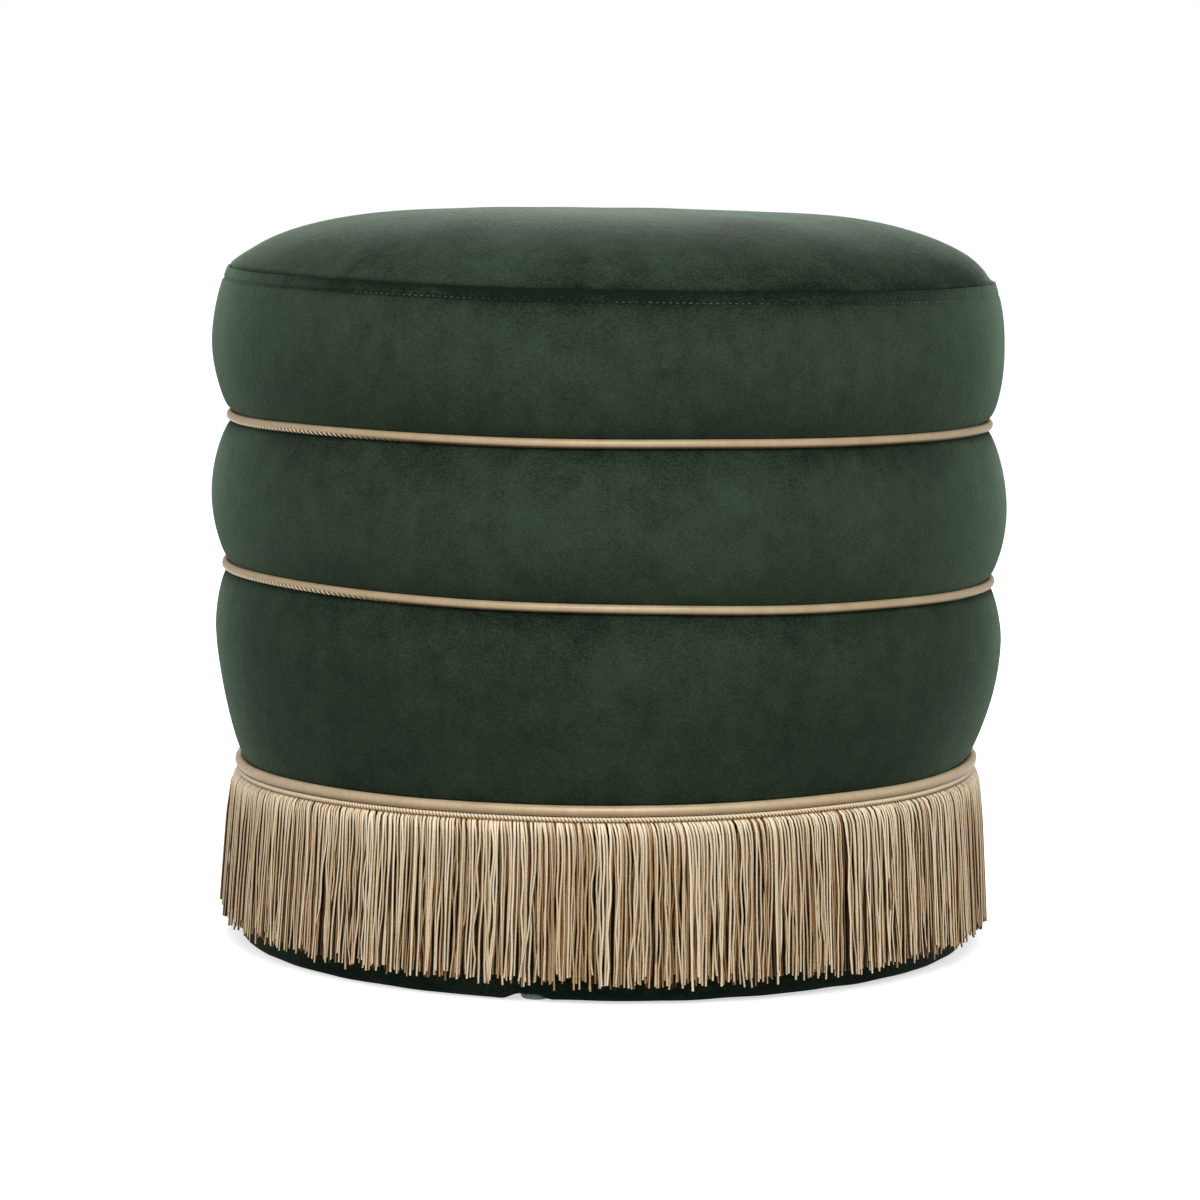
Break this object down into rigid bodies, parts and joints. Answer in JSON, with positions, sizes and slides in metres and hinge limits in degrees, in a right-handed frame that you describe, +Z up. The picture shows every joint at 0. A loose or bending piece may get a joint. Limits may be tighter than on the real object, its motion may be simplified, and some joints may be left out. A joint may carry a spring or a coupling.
{
  "type": "ottoman",
  "caption": "Round upholstered ottoman: stacked padded velvet rolls over a drum frame, piping in the grooves and a long corded fringe over a velvet plinth.",
  "frame": {"origin": "centre of the base, at floor level, where the glides stand", "axes": "+Z up along the ottoman's axis; -Y is the side that the picture shows"},
  "size_m": [0.4744, 0.4744, 0.437],
  "materials": {
    "green_velvet": "dark green cut velvet with a soft sheen",
    "gold_leather": "satin gold leather-look cloth",
    "cotton_cord": "plain twisted cotton",
    "fringe_yarn": "twisted gold rayon cord",
    "foam": "open-cell upholstery foam",
    "wadding": "bonded polyester wadding",
    "plywood": "raw birch plywood",
    "pine": "planed pine",
    "hardboard": "bent hardboard",
    "black_lining": "thin non-woven lining",
    "nylon": "milky translucent nylon",
    "zinc_steel": "zinc plated steel"
  },
  "bodies": {
    "root": {"base_board": "plywood", "seat_board": "plywood", "hoop_lower": "plywood", "hoop_middle": "plywood", "hoop_upper": "plywood", "drum_shell": "hardboard", "post_1": "pine", "post_2": "pine", "post_3": "pine", "post_4": "pine", "base_screw_1": "zinc_steel", "base_screw_2": "zinc_steel", "base_screw_3": "zinc_steel", "base_screw_4": "zinc_steel", "seat_screw_1": "zinc_steel", "seat_screw_2": "zinc_steel", "seat_screw_3": "zinc_steel", "seat_screw_4": "zinc_steel", "lower_roll_foam": "foam", "middle_roll_foam": "foam", "upper_roll_foam": "foam", "seat_pad_foam": "foam", "seat_panel": "green_velvet", "upper_band": "green_velvet", "middle_band": "green_velvet", "lower_band": "green_velvet", "plinth_band": "green_velvet", "plinth_wadding": "wadding", "upper_piping_sleeve": "gold_leather", "middle_piping_sleeve": "gold_leather", "lower_piping_sleeve": "gold_leather", "upper_piping_cord": "cotton_cord", "middle_piping_cord": "cotton_cord", "lower_piping_cord": "cotton_cord", "fringe_heading": "fringe_yarn", "fringe_skirt": "fringe_yarn", "dust_cover": "black_lining", "glide_pad_1": "nylon", "glide_pad_2": "nylon", "glide_pad_3": "nylon", "glide_pad_4": "nylon", "glide_nail_1": "zinc_steel", "glide_nail_2": "zinc_steel", "glide_nail_3": "zinc_steel", "glide_nail_4": "zinc_steel"}
  },
  "joints": []
}
